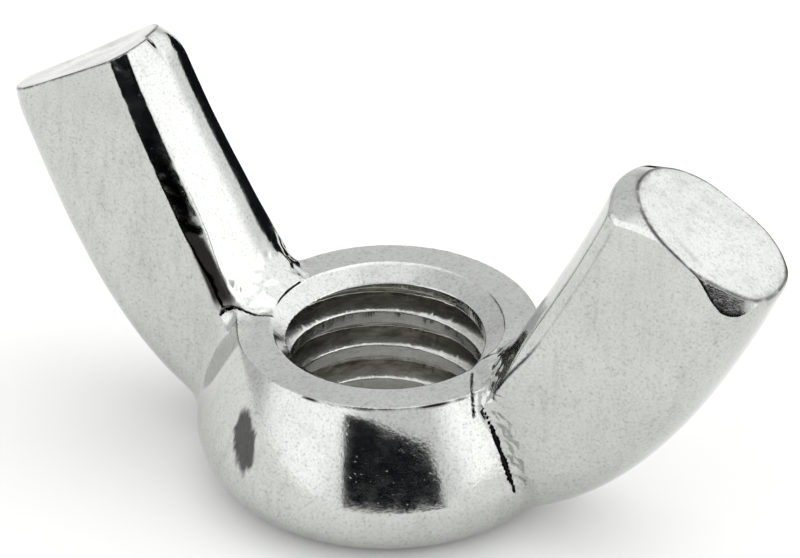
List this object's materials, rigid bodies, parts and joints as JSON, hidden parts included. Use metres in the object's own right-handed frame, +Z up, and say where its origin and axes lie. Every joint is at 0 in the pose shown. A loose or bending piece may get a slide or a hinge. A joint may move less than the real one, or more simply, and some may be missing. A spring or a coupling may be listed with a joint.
{
  "type": "wing nut",
  "caption": "Cold-forged steel wing nut: round tapped hub with two upswept wings for tightening by hand on a threaded stud.",
  "frame": {"origin": "centre of the flat bearing face, on the bore's axis", "axes": "+Z up the bore's axis, from the bearing face towards the wing tips; +X towards one wing and -X towards the other; +Y and -Y across the wings' broad faces"},
  "size_m": [0.0288, 0.0132, 0.0143],
  "materials": {
    "zinc_plated_steel": "bright zinc plate over cold-forged steel, satin with fine pitting"
  },
  "bodies": {
    "root": {"wing_nut": "zinc_plated_steel"}
  },
  "joints": []
}
